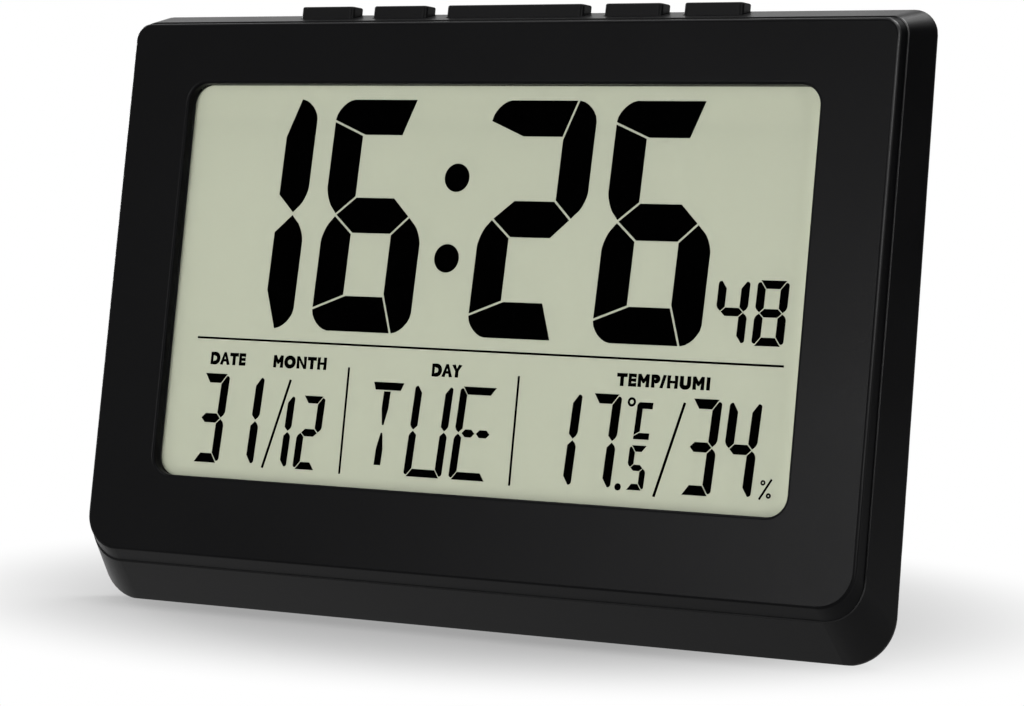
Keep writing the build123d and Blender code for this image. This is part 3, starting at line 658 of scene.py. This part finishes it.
class Figure:
    """Seven-segment figure: its size, stroke widths, corner, the gap between segments and its slant.

    The stems take the outer corners, or on the left the bars do where bar_corner is true. The stems
    meet at the middle bar in waists, which lie at two shares of the stem from the outer sides.
    """

    def __init__(self, width, height, stem, bar, corner, gap, slant, bar_corner=False, waists=(0.5, 0.5)):
        self.width = width
        self.height = height
        self.stem = stem
        self.bar = bar
        self.corner = corner
        self.gap = gap
        self.slant = slant
        self.bar_corner = bar_corner
        self.left_waist = (stem * waists[0], 0)
        self.right_waist = (width - stem * waists[1], 0)
        self.waist_reach = bar * waist_reach_share
        self.made = {}

    def left_cut(self, side):
        """Line between an end bar and a left-hand stem."""
        top = side * self.height / 2
        start = (0, top - side * self.corner) if self.bar_corner else (self.corner, top)
        return start, (self.stem, top - side * self.bar)

    def right_cut(self, side):
        """Line between an end bar and a right-hand stem."""
        top = side * self.height / 2
        return (self.width - self.corner, top), (self.width - self.stem, top - side * self.bar)

    def end_bar(self, side):
        """Top bar, or bottom bar where side is -1."""
        top = side * self.height / 2
        inner = top - side * self.bar
        plate = start_plate((0, self.width), sorted((top, inner)))
        body = (self.width / 2, (top + inner) / 2)
        trim(*self.left_cut(side), body, self.gap)
        trim(*self.right_cut(side), body, self.gap)
        if self.bar_corner:
            round_off(plate, (0, top), self.corner * corner_round_share)
        return plate

    def blunt_tip(self, side, body):
        """Cut the pointed end of a stem that takes an outer corner."""
        level = side * (self.height / 2 - self.stem * tip_cut_share)
        trim((0, level), (self.width, level), body, 0)

    def left_stem(self, side):
        """Upper left stem, or the lower one where side is -1."""
        top = side * self.height / 2
        plate = start_plate((0, self.stem), sorted((0, top)))
        body = (self.stem / 2, top / 2)
        trim(*self.left_cut(side), body, self.gap)
        trim(self.left_waist, (self.stem, side * self.bar / 2), body, self.gap)
        trim(self.left_waist, (0, side * self.waist_reach), body, self.gap)
        if not self.bar_corner:
            self.blunt_tip(side, body)
            round_off(plate, (0, top), self.corner * corner_round_share)
        round_off(plate, (0, side * self.waist_reach), self.bar * waist_round_share)
        return plate

    def right_stem(self, side):
        """Upper right stem, or the lower one where side is -1."""
        top = side * self.height / 2
        outer = self.width
        inner = self.width - self.stem
        plate = start_plate((inner, outer), sorted((0, top)))
        body = (outer - self.stem / 2, top / 2)
        trim(*self.right_cut(side), body, self.gap)
        trim(self.right_waist, (inner, side * self.bar / 2), body, self.gap)
        trim(self.right_waist, (outer, side * self.waist_reach), body, self.gap)
        if not self.bar_corner:
            self.blunt_tip(side, body)
        round_off(plate, (outer, top), self.corner * corner_round_share)
        round_off(plate, (outer, side * self.waist_reach), self.bar * waist_round_share)
        return plate

    def middle_bar(self):
        """Bar between the waists, pointed at both ends."""
        plate = start_plate((0, self.width), (-self.bar / 2, self.bar / 2))
        body = (self.width / 2, 0)
        for side in (-1, 1):
            trim(self.left_waist, (self.stem, side * self.bar / 2), body, self.gap)
            trim(self.right_waist, (self.width - self.stem, side * self.bar / 2), body, self.gap)
        return plate

    def segment(self, name):
        """One segment, modelled once."""
        if name not in self.made:
            makers = {
                "a": lambda: self.end_bar(1),
                "b": lambda: self.right_stem(1),
                "c": lambda: self.right_stem(-1),
                "d": lambda: self.end_bar(-1),
                "e": lambda: self.left_stem(-1),
                "f": lambda: self.left_stem(1),
                "g": self.middle_bar,
            }
            self.made[name] = makers[name]()
            deselect()
        return self.made[name]

    def show(self, lit, edge, level):
        """Copies of the lit segments of one figure, its right edge and its middle at a place."""
        lean = Matrix.Identity(4)
        lean[0][1] = self.slant
        place = Matrix.Translation(Vector((edge - self.width, level, 0)) * mm) @ lean
        shown = []
        for name in lit:
            copy = own_copy(self.segment(name))
            copy.data.transform(place)
            shown.append(copy)
        return shown

    def put_away(self):
        """Remove the segments that the copies were made from."""
        for plate in self.made.values():
            bpy.data.objects.remove(plate)


# Lit segments of each digit that the display shows
figures = {
    "1": "bc", "2": "abged", "3": "abgcd", "4": "fgbc",
    "5": "afgcd", "6": "afgedc", "7": "abc", "8": "abcdefg",
}

# Other marks: sides of a dot, the width of a pointed stem's tip as a share of the stem, and the parts
# of the degree letter: its rounding and the ends of its cut as shares of the stroke, and its gap
dot_sides = 40
stem_tip_share = 0.25
letter_round_share = 0.5
letter_cut_shares = (0.55, 1.15)
letter_gap = 0.2

# Captions: cap height in millimetres and as a share of the font's size, spacing, steps of a curve,
# and how far the strokes are made bolder, in millimetres
caption_height = 2.4
cap_share = 0.73
caption_spacing = 1.28
caption_steps = 6
caption_bolder = 0.48


def bar(start, end, width):
    """Straight stroke between two points with square ends."""
    run = Vector(end) - Vector(start)
    plate = start_plate((0, run.length), (-width / 2, width / 2))
    deselect()
    turn = Matrix.Rotation(math.atan2(run.y, run.x), 4, "Z")
    plate.data.transform(Matrix.Translation((start[0] * mm, start[1] * mm, 0)) @ turn)
    return plate


def dot(x, y, radius, hole=0):
    """Round dot, or a ring where it has a hole."""
    deselect()
    place = (x * mm, y * mm, 0)
    bpy.ops.mesh.primitive_circle_add(
        vertices=dot_sides, radius=radius * mm, fill_type="NGON", location=place,
    )
    disc = bpy.context.object
    bpy.ops.object.transform_apply(location=True, rotation=False, scale=False)
    if hole:
        bpy.ops.object.mode_set(mode="EDIT")
        bpy.ops.mesh.select_all(action="SELECT")
        bpy.ops.mesh.inset(thickness=(radius - hole) * mm)
        bpy.ops.mesh.delete(type="FACE")
    deselect()
    return disc


def word(text, x, y, width):
    """Caption of one width, its left end and baseline at a place."""
    deselect()
    bpy.ops.object.text_add(location=(0, 0, 0))
    letters = bpy.context.object
    letters.data.body = text
    letters.data.size = caption_height * mm / cap_share
    letters.data.space_character = caption_spacing
    letters.data.resolution_u = caption_steps
    bpy.ops.object.convert(target="MESH")
    across = [vertex.co.x for vertex in letters.data.vertices]
    high = [vertex.co.y for vertex in letters.data.vertices]
    start = Matrix.Translation((-min(across), -min(high), 0))
    wide = width * mm / (max(across) - min(across))
    tall = caption_height * mm / (max(high) - min(high))
    place = Matrix.Translation((x * mm, y * mm, 0))
    letters.data.transform(place @ Matrix.Diagonal((wide, tall, 1, 1)) @ start)
    return letters


def lozenge(x, y):
    """Short bar between limits with a point at each end."""
    half = (y[1] - y[0]) / 2
    level = (y[0] + y[1]) / 2
    plate = start_plate(x, y)
    body = (sum(x) / 2, level)
    for end, inward in ((x[0], 1), (x[1], -1)):
        for side in (-1, 1):
            trim((end, level), (end + inward * half, level + side * half), body, 0)
    deselect()
    return plate


def pointed_stem(x, wide_end, shoulder, tip, width):
    """Upright stroke that narrows from its shoulder to its tip."""
    plate = start_plate((x - width / 2, x + width / 2), sorted((wide_end, tip)))
    for side in (-1, 1):
        side_half = side * width / 2
        trim((x + side_half, shoulder), (x + side_half * stem_tip_share, tip), (x, wide_end), 0)
    deselect()
    return plate


def slanted(plate, slant, level):
    """A plate leaned to the right about a level."""
    lean = Matrix.Identity(4)
    lean[0][1] = slant
    lean[0][3] = -slant * level * mm
    plate.data.transform(lean)
    return plate


def degree_letter(x, y, stroke, slant):
    """C between limits, with a rounded upper corner and a slanted cut above its lower bar."""
    left, end = x
    bottom, top = y
    upper = start_plate(x, (top - stroke, top))
    round_off(upper, (left, top), stroke * letter_round_share)
    deselect()
    low, high = [bottom + stroke * share for share in letter_cut_shares]
    cut = ((left, low), (left + stroke, high))
    stem = start_plate((left, left + stroke), (bottom, top - stroke))
    trim(*cut, (left + stroke / 2, top), letter_gap)
    deselect()
    lower = start_plate(x, (bottom, bottom + stroke))
    trim(*cut, (end, bottom), letter_gap)
    deselect()
    level = (top + bottom) / 2
    return [slanted(plate, slant, level) for plate in (upper, stem, lower)]


def print_picture(name, plates, bolder=0):
    """Join flat pieces of the picture into one thin layer on the front of the film.

    Bolder strokes grow on all sides by a length, and the layer is then pressed flat again.
    """
    layer = join(plates)
    layer.name = name
    layer.data.name = name
    bpy.ops.object.mode_set(mode="EDIT")
    bpy.ops.mesh.select_all(action="SELECT")
    bpy.ops.mesh.remove_doubles(threshold=merge_distance * mm)
    thicken(ink_thickness)
    if bolder:
        bpy.ops.transform.shrink_fatten(value=bolder * mm)
        bpy.ops.transform.resize(value=(1, 1, 1 / (1 + 2 * bolder / ink_thickness)))
    bpy.ops.object.mode_set(mode="OBJECT")
    film = reach("lcd_polarizer", back)[0] + ink_sunk * mm
    centre = middle("display_lens", right) + picture_shift * mm
    size = Matrix.Diagonal((picture_scale, 1, 1, 1))
    layer.data.transform(lay(centre, film, middle("display_lens", up)) @ size)
    layer.data.materials.clear()
    layer.data.materials.append(ink)
    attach(layer, "case")


def show_number(figure, text, edges, level):
    """Digits of one figure, each with its right edge at its place."""
    shown = []
    for digit, edge in zip(text, edges):
        shown += figure.show(figures[digit], edge, level)
    return shown


# Layout of the display, in millimetres from the middle of the window, to the right and up
second_slant = 0.0317
small_slant = 0.055
day_slant = 0.06
stroke_width = 0.65
percent_width = 0.5

time_figure = Figure(
    width=27.3, height=54.6, stem=8.1, bar=8.3, corner=5.1, gap=0.5, slant=0.036,
    bar_corner=True, waists=(0.38, 0.45),
)
time_edges = (-48.45, -15.9, 26.85, 59.35)
time_level = 16.45
colon_places = ((-7.65, 25.7), (-8.5, 7.0))
colon_radius = 3.3
time_pieces = show_number(time_figure, "1626", time_edges, time_level)
time_pieces += [dot(*place, colon_radius) for place in colon_places]
print_picture("time_figures", time_pieces)

second_figure = Figure(
    width=7.7, height=14.4, stem=2.05, bar=1.85, corner=0.6, gap=0.22, slant=second_slant,
)
second_edges = (69.4, 78.9)
second_level = -2.8
print_picture("second_figures", show_number(second_figure, "48", second_edges, second_level))

date_figure = Figure(width=7.85, height=21.2, stem=2.2, bar=2.2, corner=0.65, gap=0.25, slant=small_slant)
date_edges = (-65.97, -56.0)
date_level = -32.85
month_figure = Figure(width=6.6, height=17.3, stem=1.9, bar=1.75, corner=0.55, gap=0.22, slant=small_slant)
month_edges = (-46.73, -38.3)
month_level = -34.95
date_stroke = ((-48.1, -22.8), (-53.9, -43.85))
date_pieces = show_number(date_figure, "31", date_edges, date_level)
date_pieces += show_number(month_figure, "12", month_edges, month_level)
date_pieces.append(bar(*date_stroke, stroke_width))
print_picture("date_figures", date_pieces)

climate_edges = (29.83, 39.85, 64.75, 74.47)
climate_level = -32.75
tenth_figure = Figure(width=4.65, height=9.9, stem=1.45, bar=1.4, corner=0.4, gap=0.18, slant=small_slant)
tenth_edge = 47.8
tenth_level = -38.15
point_place = (41.2, -42.6)
point_radius = 0.8
degree_place = (42.9, -23.65)
degree_radii = (1.05, 0.48)
letter_sides = (44.2, 48.1)
letter_levels = (-31.85, -23.6)
letter_stroke = 1.45
climate_stroke = ((56.1, -23.2), (50.3, -44.25))
percent_stroke = ((78.7, -38.75), (76.0, -43.25))
percent_rings = ((76.65, -39.6, 0.6, 0.22), (78.2, -42.35, 0.6, 0.18))
climate_pieces = show_number(date_figure, "1734", climate_edges, climate_level)
climate_pieces += show_number(tenth_figure, "5", (tenth_edge,), tenth_level)
climate_pieces += [dot(*point_place, point_radius), dot(*degree_place, *degree_radii)]
climate_pieces += [bar(*climate_stroke, stroke_width), bar(*percent_stroke, percent_width)]
climate_pieces += degree_letter(letter_sides, letter_levels, letter_stroke, small_slant)
climate_pieces += [dot(*ring) for ring in percent_rings]
print_picture("climate_figures", climate_pieces)

day_figure = Figure(width=10.2, height=21.3, stem=1.95, bar=1.8, corner=0.6, gap=0.22, slant=day_slant)
tee_figure = Figure(width=8.9, height=21.3, stem=0.9, bar=1.8, corner=0.2, gap=0.22, slant=day_slant)
tee_edge = -17.0
letter_u_edge = -3.95
letter_e_edge = 8.15
day_level = -32.85
tee_middle = -21.6
tee_width = 1.8
tee_stems = ((-24.3, -28.2, -32.1), (-41.4, -37.6, -33.9))
dash_sides = ((-0.2, 3.2), (3.6, 7.2))
dash_levels = (-33.75, -31.95)
day_pieces = day_figure.show("bcdef", letter_u_edge, day_level)
day_pieces += day_figure.show("afed", letter_e_edge, day_level)
day_pieces += tee_figure.show("a", tee_edge, day_level)
for stem_levels in tee_stems:
    tee_stem = pointed_stem(tee_middle, *stem_levels, tee_width)
    day_pieces.append(slanted(tee_stem, day_slant, day_level))
day_pieces += [lozenge(sides, dash_levels) for sides in dash_sides]
print_picture("day_letters", day_pieces)

long_rule = ((-75.9, -13.8), (79.3, -14.2))
long_rule_width = 0.5
short_rule_places = (-32.2, 13.5)
short_rule_levels = (-19.2, -44.0)
short_rule_width = 0.55
rule_pieces = [bar(*long_rule, long_rule_width)]
for x in short_rule_places:
    rule_pieces.append(bar(*[(x, level) for level in short_rule_levels], short_rule_width))
print_picture("display_rules", rule_pieces)

# Captions: text, left end, baseline and width
captions = (
    ("DATE", -71.2, -19.8, 9.5),
    ("MONTH", -53.2, -19.85, 14.4),
    ("DAY", -9.35, -20.0, 7.4),
    ("TEMP/HUMI", 38.9, -20.0, 22.7),
)
print_picture("display_captions", [word(*caption) for caption in captions], caption_bolder)

for figure in (time_figure, second_figure, date_figure, month_figure, tenth_figure, day_figure, tee_figure):
    figure.put_away()


def set_piece(piece, name, finish, body):
    """Name a finished piece, give it its finish and let it ride on its body."""
    deselect()
    piece.name = name
    piece.data.name = name
    piece.data.materials.clear()
    piece.data.materials.append(finishes[finish])
    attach(piece, body)


def pick_end(piece, side):
    """Select the lowest face of the piece in hand, or its highest where side is 1."""
    shape = bmesh.from_edit_mesh(piece.data)
    bpy.ops.mesh.select_all(action="DESELECT")
    bpy.ops.mesh.select_mode(type="FACE")
    shape.faces.ensure_lookup_table()
    end = max(shape.faces, key=lambda face: side * face.calc_center_median().z)
    end.select_set(True)
    shape.select_flush_mode()
    bmesh.update_edit_mesh(piece.data)


def cross_cutter():
    """Tapered cross that cuts a screw's recess, its wide end on the level of zero."""
    arms = []
    for turn in (0, math.pi / 2):
        deselect()
        bpy.ops.mesh.primitive_cube_add(size=1, rotation=(0, 0, turn))
        arm = bpy.context.object
        arm.scale = (recess_length * mm, recess_width * mm, 2 * recess_depth * mm)
        bpy.ops.object.transform_apply(location=False, rotation=True, scale=True)
        bpy.ops.object.mode_set(mode="EDIT")
        pick_end(arm, -1)
        bpy.ops.transform.resize(value=(recess_taper, recess_taper, 1))
        deselect()
        arms.append(arm)
    return arms


def screw_head():
    """Domed head with a cross recess, on its shank; the top of the head is on the level of zero."""
    deselect()
    bpy.ops.mesh.primitive_cylinder_add(
        vertices=head_sides, radius=head_radius * mm, depth=head_height * mm,
    )
    screw = bpy.context.object
    bpy.ops.object.mode_set(mode="EDIT")
    pick_end(screw, 1)
    rounding = head_height * head_round_share * mm
    bpy.ops.mesh.bevel(offset=rounding, segments=head_steps, affect="EDGES")
    pick_end(screw, -1)
    bpy.ops.mesh.inset(thickness=(head_radius - shank_radius) * mm)
    bpy.ops.mesh.extrude_region_move(TRANSFORM_OT_translate={"value": (0, 0, -shank_length * mm)})
    bpy.ops.mesh.select_all(action="SELECT")
    bpy.ops.transform.translate(value=(0, 0, -head_height / 2 * mm))
    deselect()
    for arm in cross_cutter():
        cut = screw.modifiers.new("recess", "BOOLEAN")
        cut.operation = "DIFFERENCE"
        cut.solver = "EXACT"
        cut.object = arm
        bpy.context.view_layer.objects.active = screw
        bpy.ops.object.modifier_apply(modifier=cut.name)
        bpy.data.objects.remove(arm)
    screw.select_set(True)
    bpy.ops.object.shade_smooth_by_angle(angle=math.radians(smooth_angle))
    return screw


def add_case_screws():
    """Cross-head screws in the four corners of the back."""
    first = screw_head()
    level = middle("case_screws", up)
    centre = middle("case_screws", right)
    head_top = reach("case_screws", back)[1]
    points = [vertex.co for vertex in nodes["case_screws"].data.vertices]
    screws = []
    for side in (-1, 1):
        beside = [point for point in points if (point.dot(right) - centre) * side > 0]
        for rise in (-1, 1):
            own = [point for point in beside if (point.dot(up) - level) * rise > 0]
            across = [point.dot(right) for point in own]
            high = [point.dot(up) for point in own]
            x = (min(across) + max(across)) / 2
            z = (min(high) + max(high)) / 2
            angle = cross_turn + cross_turn_by_side * side + cross_turn_by_rise * rise
            turn = Matrix.Rotation(math.radians(angle), 4, "Z")
            screw = own_copy(first)
            screw.data.transform(lay_behind(x, head_top, z) @ turn)
            screws.append(screw)
    bpy.data.objects.remove(first)
    joined = join(screws)
    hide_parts("case_screws")
    set_piece(joined, "cross_head_screws", "screw_steel", "case")


def add_door_arrow():
    """Raised arrow on the battery door that shows which way it slides."""
    shaft = start_plate((-arrow_length / 2, 0), (-arrow_shaft / 2, arrow_shaft / 2))
    deselect()
    head = start_plate((0, arrow_length / 2), (-arrow_head / 2, arrow_head / 2))
    for side in (-1, 1):
        trim((0, side * arrow_head / 2), (arrow_length / 2, 0), (0, 0), 0)
    arrow = join([shaft, head])
    bpy.ops.object.mode_set(mode="EDIT")
    thicken(arrow_proud + arrow_sunk)
    bpy.ops.object.mode_set(mode="OBJECT")
    flat = reach("battery_door", back)[1] - (rib_proud + arrow_sunk) * mm
    x = reach("battery_door", right)[1] - arrow_from_end * mm
    arrow.data.transform(lay_behind(x, flat, middle("battery_door", up)))
    set_piece(arrow, "door_arrow", "door_plastic", "door")


add_case_screws()
add_door_arrow()


def set_camera():
    """Camera at the photographer's place."""
    data = bpy.data.cameras.new("camera")
    data.lens = camera_lens
    data.sensor_width = camera_sensor
    data.clip_end = camera_far
    camera = bpy.data.objects.new("camera", data)
    bpy.context.collection.objects.link(camera)
    lens = spot(middle("display_lens", right), reach("display_lens", back)[0], middle("display_lens", up))
    camera.location = lens + spot(*camera_place)
    camera.rotation_euler = spot(*camera_aim).to_track_quat("-Z", "Y").to_euler()
    bpy.context.scene.camera = camera


def add_floor():
    """Pale floor with a painted shadow, soft and grey, around the clock's own shadow, white away from it."""
    deselect()
    bpy.ops.mesh.primitive_plane_add(size=2 * floor_half)
    floor = bpy.context.object
    floor.name = "floor"
    material, paint = new_paint("floor")
    painted_shadow_place = {"Location": (*painted_shadow_centre, 0), "Scale": (*painted_shadow_reach, 1)}
    at = paint.node("Mapping", {"vector_type": "TEXTURE"}, {"Vector": paint.place(), **painted_shadow_place})
    away = paint.node("VectorMath", {"operation": "LENGTH"}, {0: at}, output="Value")
    white = paint.ramp(away, *painted_shadow_fade, "SMOOTHSTEP")
    seen = paint.rays("Camera")
    matt = paint.node("BsdfDiffuse", None, {"Color": grey(floor_tone)})
    # Painted shadow: camera rays see an emitted grey that fades to white away from the clock; gloss and clear
    # pieces see the floor white all over
    shade = paint.blend(seen * (1 - white), grey(1), grey(painted_shadow_tone))
    glow = paint.node("Emission", None, {"Color": shade})
    share = seen * (painted_shadow_share + white * (1 - painted_shadow_share)) + paint.rays("Glossy", "Transmission")
    paint.finish(paint.node("MixShader", None, {0: share, 1: matt, 2: glow}))
    floor.data.materials.append(material)


def add_dark_card(name, place, size):
    """Black card that faces the clock and is seen only in its gloss."""
    deselect()
    bpy.ops.mesh.primitive_plane_add(size=size, location=place)
    card = bpy.context.object
    card.name = name
    card.rotation_euler = (room_aim - Vector(place)).to_track_quat("Z", "Y").to_euler()
    bpy.ops.object.transform_apply(location=True, rotation=True, scale=False)
    material, paint = new_paint(name)
    paint.finish(paint.node("BsdfDiffuse", None, {"Color": grey(card_tone)}))
    card.data.materials.append(material)
    card.visible_camera = False
    card.visible_diffuse = False
    card.visible_shadow = False


def add_lamp(name, place, size, power):
    """Square or oblong lamp that faces the clock."""
    data = bpy.data.lights.new(name, "AREA")
    data.shape = "RECTANGLE"
    data.size, data.size_y = size
    data.energy = power
    lamp = bpy.data.objects.new(name, data)
    bpy.context.collection.objects.link(lamp)
    lamp.location = place
    lamp.rotation_euler = (room_aim - lamp.location).to_track_quat("-Z", "Y").to_euler()


def light_room():
    """Even light from all sides, and white where the camera, gloss or clear pieces show the room."""
    world = bpy.data.worlds.new("studio")
    bpy.context.scene.world = world
    world.use_nodes = True
    paint = Paint(world.node_tree)
    strength = room_light + paint.rays("Camera", "Glossy", "Transmission") * (1 - room_light)
    sky = paint.node("Background", None, {"Color": grey(1), "Strength": strength})
    paint.node("OutputWorld", None, {"Surface": sky})


set_camera()
add_floor()
for card in dark_cards:
    add_dark_card(*card)
light_room()
for lamp in lamps:
    add_lamp(*lamp)
bpy.context.scene.view_settings.view_transform = "Standard"
